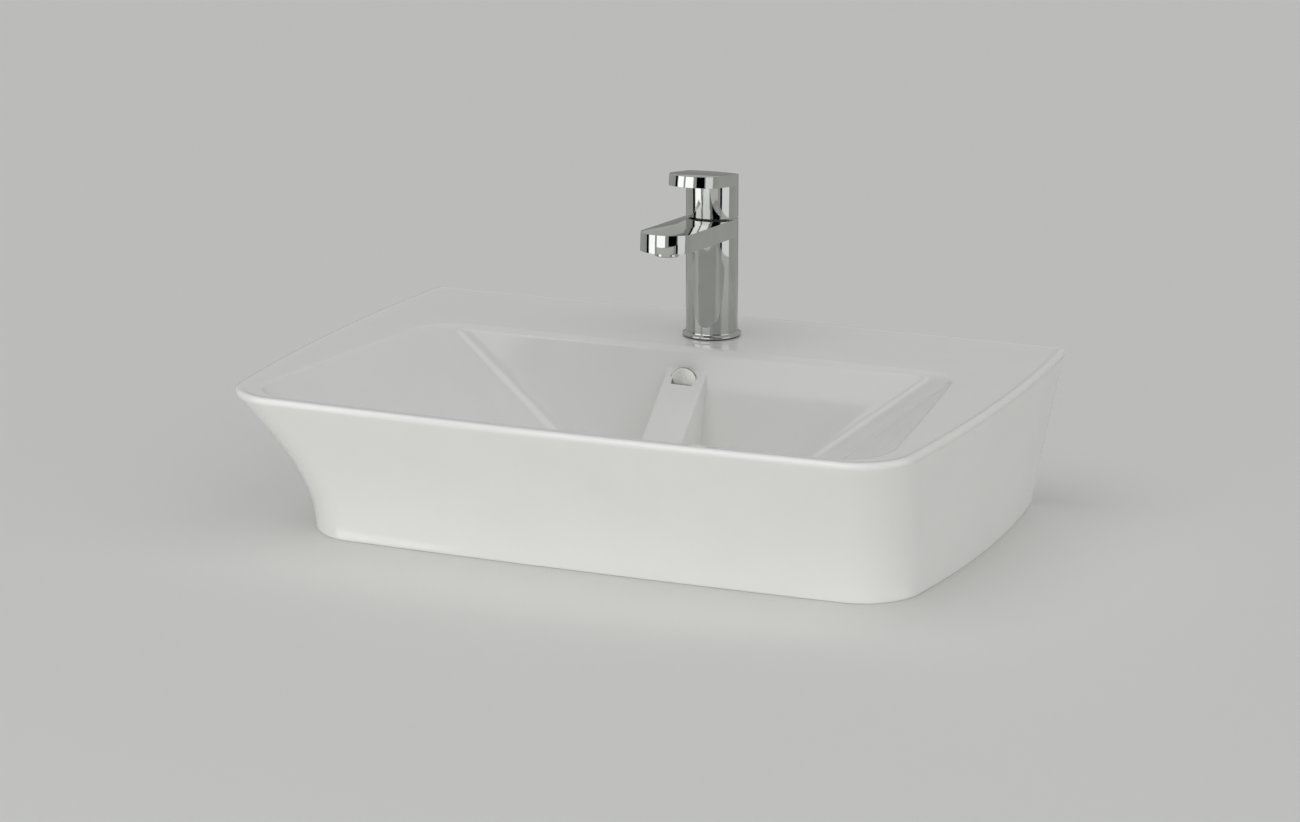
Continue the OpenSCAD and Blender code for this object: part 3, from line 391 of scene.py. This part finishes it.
def overflow_duct(width, wall, corner):
    """A bar across the middle between the overflow and the waste, meant as the overflow's duct.
    Its corners are sorted round their centre, not taken in the order given, so it shows in the bowl."""
    def back(z):
        return BOWL[0] - 5 + BOWL_T - 17 * (EDGE_Z - z) / (EDGE_Z - WALL_FOOT_Z)

    foot, top, slot, slot_top, bend_z = back(WALL_FOOT_Z), OVERFLOW_Z + 12, DUCT_SLOT_Z, DUCT_SLOT_Z + 8, 10
    side = [Vector(p) for p in (
        (back(top) - 1, top), (foot - 1, WALL_FOOT_Z), (foot - 1, slot_top + bend_z), (foot - 11, slot_top),
        (WASTE.y, slot_top), (WASTE.y, slot), (foot + 2, slot), (foot + 12, slot + bend_z),
        (foot + 12, WALL_FOOT_Z),
        (back(top) + 12, top))]
    bm = bmesh.new()
    verts = []
    for k, p in enumerate(side):
        a, b = (p - side[k - 1]).normalized(), (side[(k + 1) % len(side)] - p).normalized()
        a, b = Vector((-a.y, a.x)), Vector((-b.y, b.x))
        q = p - (a + b) * wall / (1 + a.dot(b))
        verts.append(bm.verts.new((-width / 2, q.x, q.y)))
    face = bmesh.ops.contextual_create(bm, geom=verts)["faces"][0]
    made = bmesh.ops.extrude_face_region(bm, geom=[face])["geom"]
    bmesh.ops.translate(bm, vec=(width, 0, 0), verts=[v for v in made if isinstance(v, bmesh.types.BMVert)])
    if not [f for f in bm.faces if f == face]:
        bmesh.ops.contextual_create(bm, geom=verts)
    if corner:
        bmesh.ops.recalc_face_normals(bm, faces=bm.faces)
        bmesh.ops.bevel(bm, geom=[e for e in bm.edges if e.is_convex], offset=corner, offset_type="OFFSET",
                        affect="EDGES", segments=3, profile=0.5, material=-1, clamp_overlap=True)
    return keep(bm, "cutter")


def glazed_basin():
    basin = loft(basin_rings(), "glazed_basin")
    holes = [overflow_duct(26, 0, 0),
             drill(17.5, RIM_Z - DECK_T - 2, RIM_Z + 4, at=(0, TAP_Y, 0)),
             drill(10, -20, 10, at=(0, OVERFLOW_Y, OVERFLOW_Z), tilt=math.pi / 2 - OVERFLOW_TILT),
             drill(7, -4, WALL_T + 4, at=(-140, 0, 0), tilt=math.pi / 2),
             drill(7, -4, WALL_T + 4, at=(140, 0, 0), tilt=math.pi / 2)]
    return cut(basin, *holes, joined=[overflow_duct(36, 5, 3)])


# The tap

def tilted(z0, tilt, y, h):
    """(y, z) of a point y along and h above a plane tilted about the X axis through (0, z0)."""
    return y * math.cos(tilt) + h * math.sin(tilt), z0 - y * math.sin(tilt) + h * math.cos(tilt)


def on_column(z0, tilt, y, h):
    """Height at which a vertical line at y meets the level h of that tilted plane."""
    return z0 - y * math.tan(tilt) + h / math.cos(tilt)


def nosed_form(foot, z0, tilt, reach, thick, crown=None, edge=0.7, steps=96):
    """A round column that carries a flat bar with a round nose, as wide as the column.
    foot gives the column's lower end, and crown the bar's upper face where it is domed."""
    bm = bmesh.new()
    verts = bmesh.ops.create_circle(bm, segments=steps, radius=COLUMN_R)["verts"]
    for v in verts:
        v.co.z = foot(v.co.y)
    ring = list({e for v in verts for e in v.link_edges})
    made = bmesh.ops.extrude_edge_only(bm, edges=ring)["geom"]
    for v in made:
        if isinstance(v, bmesh.types.BMVert):
            v.co.z = on_column(z0, tilt, v.co.y, 0)
    front = [e for e in made if isinstance(e, bmesh.types.BMEdge) and max(v.co.y for v in e.verts) < 0.01]
    made = bmesh.ops.extrude_edge_only(bm, edges=front)["geom"]
    nose = [v for v in made if isinstance(v, bmesh.types.BMVert)]
    for v in nose:
        v.co.y, v.co.z = tilted(z0, tilt, v.co.y - reach, 0)
    low = set(verts)
    rim = [e for e in bm.edges if e.is_boundary and not (set(e.verts) & low)]
    nose = {tuple(v.co) for v in nose}
    on_nose = bm.verts.layers.int.new("nose")
    for v in bm.verts:
        v[on_nose] = int(tuple(v.co) in nose)
    made = bmesh.ops.extrude_edge_only(bm, edges=rim)["geom"]
    top = [v for v in made if isinstance(v, bmesh.types.BMVert)]
    for v in top:
        if v[on_nose]:
            v.co.y += thick * math.sin(tilt)
            v.co.z += thick * math.cos(tilt)
        else:
            v.co.z = on_column(z0, tilt, v.co.y, thick)
    top_edges = [e for e in made if isinstance(e, bmesh.types.BMEdge)]
    if crown:
        for v in top:
            v.co.z = crown(v.co.x, v.co.y)
        ring = top_edges
        rows = 10
        middle = Vector((0, -reach / 2, 0))
        for k in range(1, rows + 1):
            share = 1 - k / rows
            made = bmesh.ops.extrude_edge_only(bm, edges=ring)["geom"]
            ring = [e for e in made if isinstance(e, bmesh.types.BMEdge)]
            for v in made:
                if isinstance(v, bmesh.types.BMVert):
                    was = (v.co - middle) / (share + 1 / rows)
                    v.co.x, v.co.y = middle.x + was.x * share, middle.y + was.y * share
                    v.co.z = crown(v.co.x, v.co.y)
        bmesh.ops.remove_doubles(bm, verts=bm.verts, dist=0.0005)
    else:
        bmesh.ops.contextual_create(bm, geom=top_edges)
    bmesh.ops.holes_fill(bm, edges=[e for e in bm.edges if e.is_boundary], sides=0)
    bmesh.ops.recalc_face_normals(bm, faces=bm.faces)
    sharp = [e for e in bm.edges if e.is_manifold and e.calc_face_angle() > math.radians(30)
             and e.is_convex]
    bmesh.ops.bevel(bm, geom=sharp, offset=edge, offset_type="OFFSET", affect="EDGES", segments=4,
                    profile=0.5, material=-1, clamp_overlap=True)
    bmesh.ops.translate(bm, vec=(0, TAP_Y, 0), verts=bm.verts)
    return bm


def column_and_spout():
    slab = SPLIT_Z - SPOUT_T
    bm = nosed_form(lambda y: BODY_Z, slab, SPOUT_TILT, SPOUT_REACH, SPOUT_T, edge=0.6)
    body = keep(bm, "column_and_spout")
    tap = (0, TAP_Y, 0)
    nose_y, nose_z = tilted(slab, SPOUT_TILT, -SPOUT_REACH, 0)
    nose = (0, TAP_Y + nose_y, nose_z)
    return cut(body,
               drill(18.8, BODY_Z - 5, WEB_Z, at=tap),
               drill(14.1, CARTRIDGE_Z, SPLIT_Z + 30, at=tap),
               drill(16.6, SPLIT_Z - 9, SPLIT_Z + 30, at=tap),
               drill(4.46, WEB_Z - 1, WEB_Z + 14, at=(-7.5, TAP_Y - 4, 0), steps=32),
               drill(4.46, WEB_Z - 1, WEB_Z + 14, at=(7.5, TAP_Y - 4, 0), steps=32),
               drill(4.05, WEB_Z - 1, WEB_Z + 11, at=(0, TAP_Y + 11, 0), steps=32),
               drill(10.1, -4, 11, at=nose, tilt=-SPOUT_TILT),
               drill(8.1, 0, 13.5, at=nose, tilt=-SPOUT_TILT))


def lever():
    """The lever's neck and its domed bar. The neck's foot is cut back at the rear, for the lift."""
    pivot_back, pivot_rise = 4.0, 10.0
    relief = pivot_back * math.cos(SPOUT_TILT) - (pivot_rise - FOOT_GAP) * math.sin(SPOUT_TILT)
    crown_r, middle = 420.0, -LEVER_REACH / 2

    def foot(y):
        base = on_column(SPLIT_Z + FOOT_GAP, SPOUT_TILT, y, 0)
        return base + max(0, y - relief) * math.tan(LIFT - SPOUT_TILT)

    def crown(x, y):
        # the dome's centre lies below the middle of the bar, square to its tilt
        cy, cz = tilted(SPLIT_Z + LEVER_RISE, LEVER_TILT, middle, -crown_r)
        return cz + math.sqrt(crown_r ** 2 - x * x - (y - cy) ** 2)

    bm = nosed_form(foot, SPLIT_Z + LEVER_RISE - LEVER_T, LEVER_TILT, LEVER_REACH, LEVER_T, crown=crown,
                    edge=0.6)
    piece = keep(bm, "lever")
    socket_z = SPLIT_Z + 18
    tap = (0, TAP_Y, 0)
    return cut(piece,
               drill(19.6, SPLIT_Z - 10, socket_z, at=tap),
               block((-2.6, 4 - 2.6, socket_z - 1), (2.6, 4 + 2.6, socket_z + 10.2), at=tap),
               drill(2.2, -34, -4, at=(0, TAP_Y, socket_z + 5), tilt=math.pi / 2, steps=32),
               drill(3.0, -30, -18.6, at=(0, TAP_Y, socket_z + 5), tilt=math.pi / 2, steps=32))


def turned_piece(name, profile, radius, at, tilt=0.0, steps=96):
    return keep(turned_mesh(rounded(profile, radius), steps, at, tilt), name)


def waste_fitting():
    """The waste's flange and threaded body, with its four overflow slots."""
    top, flange_z, r, bore = -36.1, -38.3, 20.95, 18.75
    end, groove_top = flange_z - 84, -81.65
    thread = []
    pitch = 2.3  # a 11 per inch pipe thread
    z = -64.0
    while z > end + 2:
        if not groove_top - 2.5 - pitch < z < groove_top + pitch:
            thread += [(r, z), (r - 0.75, z - pitch / 2)]
        elif abs(z - (groove_top - 1.2)) < pitch / 2:
            thread += [(r, groove_top + 0.1), (r - 0.7, groove_top - 0.3), (r - 0.7, groove_top - 2.2),
                       (r, groove_top - 2.5)]
        z -= pitch
    profile = [(bore, end), (bore, flange_z + 0.9), (31.5 - 4, flange_z + 0.6), (31.5 - 3, flange_z + 0.9),
               (31.5 - 2.4, top - 0.2), (31.5 - 1.2, top), (31.5 - 0.3, top - 0.5), (31.5, flange_z + 0.6),
               (31.2, flange_z), (21.9, flange_z), (21.9, flange_z - 1), (r, flange_z - 1), (r, -63)]
    profile += thread + [(r - 0.6, end + 0.6), (r - 1, end)]
    waste = keep(turned_mesh(profile, 96, (0, WASTE.y, 0)), "waste_fitting")
    slot_z = FLOOR_Z - 12.5 - 4
    return cut(waste, *[block((bore - 2, -7, slot_z), (bore + 5.2, 7, slot_z + 8), at=(0, WASTE.y, 0),
                              turn=math.radians(45 + 90 * k)) for k in range(4)])


# Materials

def linear(code):
    """An sRGB hex value as the linear colour that the shader works in."""
    parts = [int(code[k:k + 2], 16) / 255 for k in (1, 3, 5)]
    return (*[c / 12.92 if c <= 0.04045 else ((c + 0.055) / 1.055) ** 2.4 for c in parts], 1)


def add(tree, kind, inputs=None, **settings):
    """Adds a node with its settings, and sets or links its inputs."""
    made = tree.nodes.new(kind)
    for name, value in settings.items():
        setattr(made, name, value)
    for name, value in (inputs or {}).items():
        if isinstance(value, bpy.types.NodeSocket):
            tree.links.new(value, made.inputs[name])
        else:
            made.inputs[name].default_value = value
    return made


def finish(name, colours, rough, metallic=0.0, ior=1.5, grain=20.0, grain_bump=0.0, fine=1.0, fine_bump=0.0,
           turned=None, **sockets):
    """A surface with a slow variation over grain millimetres and a fine one over fine millimetres.
    colours and rough each give the two ends that the slow variation runs between.
    turned gives the centre, in millimetres, of the upright axis about which tool marks run; it carries no
    tilt."""
    material = bpy.data.materials.new(name)
    material.use_nodes = True
    tree = material.node_tree
    tree.nodes.clear()
    where = add(tree, "ShaderNodeTexCoord").outputs["Object"]
    slow = add(tree, "ShaderNodeTexNoise", {"Vector": where, "Scale": 1 / (grain * MM), "Detail": 2.0,
                                            "Roughness": 0.5})
    small = add(tree, "ShaderNodeTexNoise", {"Vector": where, "Scale": 1 / (fine * MM), "Detail": 3.0,
                                             "Roughness": 0.6})
    small_out = small.outputs["Fac"]
    if turned:
        axis = add(tree, "ShaderNodeMapping", {"Vector": where, "Location": [-c * MM for c in turned]})
        marks = add(tree, "ShaderNodeTexWave", {"Vector": axis.outputs["Vector"], "Scale": 0.31 / (fine * MM),
                                                "Distortion": 0.4, "Detail": 1.0},
                    wave_type="BANDS", bands_direction="Z")
        small_out = marks.outputs["Fac"]
    ends = add(tree, "ShaderNodeMapRange", {"Value": slow.outputs["Fac"], "From Min": 0.3, "From Max": 0.7,
                                            "To Min": 0.0, "To Max": 1.0})
    colour = add(tree, "ShaderNodeMix", {"Factor": ends.outputs["Result"], "A": linear(colours[0]),
                                         "B": linear(colours[1])}, data_type="RGBA")
    dull = add(tree, "ShaderNodeMapRange", {"Value": slow.outputs["Fac"], "From Min": 0.3, "From Max": 0.7,
                                            "To Min": rough[0], "To Max": rough[1]})
    shader = add(tree, "ShaderNodeBsdfPrincipled", {"Roughness": dull.outputs["Result"],
                                                    "Metallic": metallic})
    tree.links.new([s for s in colour.outputs if s.type == "RGBA"][0], shader.inputs["Base Color"])
    if not metallic:
        shader.inputs["IOR"].default_value = ior
    for key, value in sockets.items():
        shader.inputs[key].default_value = value
    normal = None
    for height, depth in ((slow.outputs["Fac"], grain_bump), (small_out, fine_bump)):
        if depth:
            bump = add(tree, "ShaderNodeBump", {"Height": height, "Distance": depth * MM, "Strength": 1.0})
            if normal:
                tree.links.new(normal, bump.inputs["Normal"])
            normal = bump.outputs["Normal"]
    if normal:
        tree.links.new(normal, shader.inputs["Normal"])
    out = add(tree, "ShaderNodeOutputMaterial")
    tree.links.new(shader.outputs["BSDF"], out.inputs["Surface"])
    return material


def finishes():
    return {
        # White glaze fired on vitreous china: a deep gloss over a slightly uneven body, so that
        # reflections are sharp but wander a little along the long walls.
        "glaze": finish("white_glaze_on_vitreous_china", ("#EEEEEC", "#F0F0EE"), (0.06, 0.10), ior=1.52,
                        grain=70, grain_bump=0.10, fine=6, fine_bump=0.0015),
        # Bright chromium over nickel on polished brass: a cool mirror that returns just over half the light.
        "chrome": finish("bright_chromium_plate_on_brass", ("#B9BBB8", "#BEC0BD"), (0.035, 0.06),
                         metallic=1.0, grain=18, grain_bump=0.004, fine=1.2, fine_bump=0.0),
        # Satin chromium plate: blasted before plating, so that it shows a soft grey and no clear picture.
        "satin": finish("satin_chromium_plate", ("#A6A7A2", "#ADAEA9"), (0.24, 0.30), metallic=1.0,
                        grain=8, fine=0.35, fine_bump=0.003),
        # Turned brass: bare alloy with tool marks about 0.3 mm apart, drawn at 0.6 mm so that they show.
        "brass": finish("turned_brass", ("#C7A85C", "#D3B66B"), (0.22, 0.34), metallic=1.0,
                        grain=9, fine=0.6, fine_bump=0.02, turned=(0, 0, 0)),
        # Rolled stainless steel, bright but not polished.
        "steel": finish("rolled_stainless_steel", ("#9EA0A2", "#AEB0B2"), (0.22, 0.32), metallic=1.0,
                        grain=7, fine=0.5, fine_bump=0.004),
        # Moulded EPDM rubber: near black and matt, with the mould's fine sand texture.
        "rubber": finish("moulded_epdm_rubber", ("#1E1E1F", "#29292A"), (0.62, 0.78), ior=1.5,
                         grain=6, fine=0.5, fine_bump=0.02),
        # Injection moulded acetal: a waxy white with a low sheen.
        "acetal": finish("moulded_white_acetal", ("#DCDCD6", "#E4E4DE"), (0.30, 0.42), ior=1.48,
                         grain=12, fine=0.8, fine_bump=0.006),
        # Lapped alumina: flat, fine ceramic with a faint cream tone.
        "alumina": finish("lapped_alumina", ("#EFEAE0", "#F4F0E8"), (0.10, 0.18), ior=1.76,
                          grain=10, fine=0.4, fine_bump=0.001),
        # Moulded grey ABS for the small cover over the lever's screw.
        "abs": finish("moulded_grey_abs", ("#8B8D8E", "#939596"), (0.28, 0.38), ior=1.53,
                      grain=4, fine=0.4, fine_bump=0.004),
    }


FINISH = finishes()

CARRIED = {
    "acetal": ("overflow_insert", "waste_washer", "plug_guide", "aerator_insert", "cartridge_base",
               "cartridge_housing", "disc_carrier", "cartridge_turret"),
    "rubber": ("flange_seal", "waste_gasket", "plug_seal", "base_gasket", "clamp_rubber", "aerator_seal",
               "inlet_seals"),
    "brass": ("waste_nut", "plug_stem", "fixing_nut", "retaining_nut"),
    "steel": ("plug_spring", "fixing_stud", "clamp_plate", "pivot_pin", "lever_stem", "handle_screw"),
    "alumina": ("fixed_disc", "moving_disc"),
    "abs": ("screw_cap",),
}


def dress_carried_nodes():
    for finish_name, nodes in CARRIED.items():
        for name in nodes:
            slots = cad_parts[name].data.materials
            slots.clear()
            slots.append(FINISH[finish_name])


def dress(piece, finish_name, body, slot, *nodes):
    """Gives a new piece its material and its body, and hides the CAD nodes that it stands for. slot is not
    used.
    """
    piece.data.materials.clear()
    piece.data.materials.append(FINISH[finish_name])
    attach(piece, body)
    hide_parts(*nodes)
    return piece


def build_object():
    dress_carried_nodes()
    dress(glazed_basin(), "glaze", "root", "glaze", "basin_ceramic")
    dress(column_and_spout(), "chrome", "root", "chrome", "tap_body")
    dress(lever(), "chrome", "handle", "chrome", "tap_handle")
    ring_z = DECK_Z + 1.05
    collar = [(17.5, 0), (24.75, 0), (24.75, 1.5), (23.6, 2.3), (22.8, 3.1), (22.5, 4), (17.5, 4)]
    dress(turned_piece("base_collar", collar, 0.3, (0, TAP_Y, ring_z)),
          "chrome", "root", "chrome", "base_ring")
    nose_y, nose_z = tilted(SPLIT_Z - SPOUT_T, SPOUT_TILT, -SPOUT_REACH, -4.5)
    dress(turned_piece("aerator_sleeve", [(7.4, 0), (9.6, 0), (10, 0.5), (10, 13.5), (8.4, 13.5), (8.4, 2),
                                          (7.4, 2)], 0.25, (0, TAP_Y + nose_y, nose_z), -SPOUT_TILT, 72),
          "chrome", "root", "chrome", "aerator_housing")
    stand = 1 + 2.6
    disc = [(0, -4.4), (2.1, -4.4), (2.1, stand), (12.3, stand), (12.5, stand + 0.3), (12.5, stand + 1.6),
            (11.9, stand + 2.2), (0, stand + 2.3)]
    tilt = math.pi / 2 - OVERFLOW_TILT
    square = Matrix.Rotation(tilt, 3, "X") @ Vector((0, 0, 0.1))
    disc_at = (0, OVERFLOW_Y + square.y, OVERFLOW_Z + square.z)
    dress(turned_piece("overflow_disc", disc, 0.35, disc_at, tilt, 72),
          "satin", "root", "chrome", "overflow_cap")
    dress(waste_fitting(), "chrome", "root", "chrome", "waste_body")
    plug_z = -28.0
    plug = [(0, 0), (28, 0), (29.5, 0.9), (28.9, 1.9), (23.6, 3.2), (14.75, 4.1), (0, 4.5)]
    dress(turned_piece("plug_disc", plug, 0.6, (0, WASTE.y, plug_z)), "chrome", "plug", "chrome", "plug_cap")


build_object()


# Stage and light

def flat_material(name, colour, strength=None):
    material = bpy.data.materials.new(name)
    material.use_nodes = True
    tree = material.node_tree
    tree.nodes.clear()
    if strength is None:
        shader = add(tree, "ShaderNodeBsdfDiffuse", {"Color": linear(colour), "Roughness": 0.0})
    else:
        shader = add(tree, "ShaderNodeEmission", {"Color": linear(colour), "Strength": strength})
    out = add(tree, "ShaderNodeOutputMaterial")
    tree.links.new(shader.outputs[0], out.inputs["Surface"])
    return material


def worktop():
    """A plain pale floor at the basin's base, with a round cut-out for the waste."""
    bm = bmesh.new()
    bmesh.ops.create_circle(bm, segments=96, radius=45)
    bmesh.ops.translate(bm, vec=(0, WASTE.y, BASE_Z), verts=bm.verts)
    made = bmesh.ops.extrude_edge_only(bm, edges=bm.edges[:])["geom"]
    out = [v for v in made if isinstance(v, bmesh.types.BMVert)]
    bmesh.ops.scale(bm, vec=(300, 300, 1), space=Matrix.Translation((0, -WASTE.y, 0)), verts=out)
    floor = keep(bm, "worktop")
    floor.data.materials.append(flat_material("matt_worktop", "#E9EAE7"))
    floor.visible_glossy = False


def card(name, azimuth, distance, width, low, high, colour, strength):
    """A flat card that shows only in gloss: azimuth 0 is in front of the basin, 90 to its right."""
    bm = bmesh.new()
    bmesh.ops.create_grid(bm, x_segments=1, y_segments=1, size=0.5)
    bmesh.ops.scale(bm, vec=(width, high - low, 1), verts=bm.verts)
    bmesh.ops.rotate(bm, cent=(0, 0, 0), matrix=Matrix.Rotation(math.pi / 2, 3, "X"), verts=bm.verts)
    bmesh.ops.translate(bm, vec=(0, -distance, (low + high) / 2), verts=bm.verts)
    turn = Matrix.Rotation(math.radians(azimuth), 3, "Z")
    bmesh.ops.rotate(bm, cent=(0, 0, 0), matrix=turn, verts=bm.verts)
    bmesh.ops.translate(bm, vec=(0, TAP_Y, 0), verts=bm.verts)
    piece = keep(bm, name)
    piece.data.materials.append(flat_material(name, colour, strength))
    piece.visible_camera = piece.visible_diffuse = piece.visible_shadow = piece.visible_transmission = False


def soft_sun(name, azimuth, elevation, spread, power):
    """Even light from a wide part of the sky: azimuth 0 is in front of the basin, 90 to its right."""
    data = bpy.data.lights.new(name, "SUN")
    data.angle = math.radians(spread)
    data.energy = power
    lamp = bpy.data.objects.new(name, data)
    lamp.rotation_euler = (math.radians(90 - elevation), 0, math.radians(azimuth))
    lamp.visible_glossy = False
    bpy.context.scene.collection.objects.link(lamp)


def strip_light(name, azimuth, distance, width, power):
    """A long, low light that reaches the apron but not the inside of the bowl's front wall."""
    data = bpy.data.lights.new(name, "AREA")
    data.shape = "RECTANGLE"
    data.size, data.size_y = width, 0.16
    data.energy = power
    lamp = bpy.data.objects.new(name, data)
    turn = math.radians(azimuth)
    lamp.location = (distance * math.sin(turn), TAP_Y * MM - distance * math.cos(turn), 0.02)
    lamp.rotation_euler = (math.radians(90), 0, turn)
    lamp.visible_glossy = False
    bpy.context.scene.collection.objects.link(lamp)


def light_the_stage():
    worktop()
    world = bpy.data.worlds.new("room")
    bpy.context.scene.world = world
    world.use_nodes = True
    tree = world.node_tree
    tree.nodes.clear()
    path = add(tree, "ShaderNodeLightPath")
    seen = add(tree, "ShaderNodeMath", {0: path.outputs["Is Camera Ray"], 1: path.outputs["Is Glossy Ray"]},
               operation="MAXIMUM")
    seen = add(tree, "ShaderNodeMath", {0: seen.outputs[0], 1: path.outputs["Is Transmission Ray"]},
               operation="MAXIMUM")
    ambient = add(tree, "ShaderNodeBackground", {"Color": linear("#FFFFFF"), "Strength": 0.34})
    backdrop = add(tree, "ShaderNodeBackground", {"Color": linear("#B7B8B5"), "Strength": 1.0})
    both = add(tree, "ShaderNodeMixShader", {0: seen.outputs[0], 1: ambient.outputs[0],
                                             2: backdrop.outputs[0]})
    out = add(tree, "ShaderNodeOutputWorld")
    tree.links.new(both.outputs[0], out.inputs["Surface"])
    soft_sun("key", -25, 58, 50, 0.50)
    soft_sun("fill", 65, 40, 60, 0.45)
    soft_sun("back_fill", 180, 35, 60, 0.22)
    strip_light("low_front_light", -8, 2.1, 2.6, 13.0)
    strip_light("low_right_light", 76, 2.1, 1.2, 2.0)
    # cards that only gloss shows: name, azimuth, width in degrees, foot and head in mm, colour, strength
    for name, azimuth, spread, low, high, colour, strength in (
            ("white_card_left", -43, 28, -700, 1500, "#FFFFFF", 1.9),
            ("dark_card_left", -66, 12, -700, 900, "#060606", 1.0),
            ("white_card_front", -4, 34, -30, 1500, "#FFFFFF", 1.9),
            ("pale_card_low", 13, 68, -700, -40, "#D9DAD7", 1.0),
            ("dark_card_right", 44, 35, -20, 1300, "#040404", 1.0),
            ("dark_card_low", 62, 9, -700, -10, "#040404", 1.0),
            ("white_card_right", 84, 36, -700, 1300, "#FFFFFF", 1.15),
            ("grey_card_back", 202, 60, -300, 330, "#8E8F8C", 1.0)):
        card(name, azimuth, 1500, 3000 * math.tan(math.radians(spread / 2)), low, high, colour, strength)


light_the_stage()
bpy.context.scene.view_settings.view_transform = "Standard"
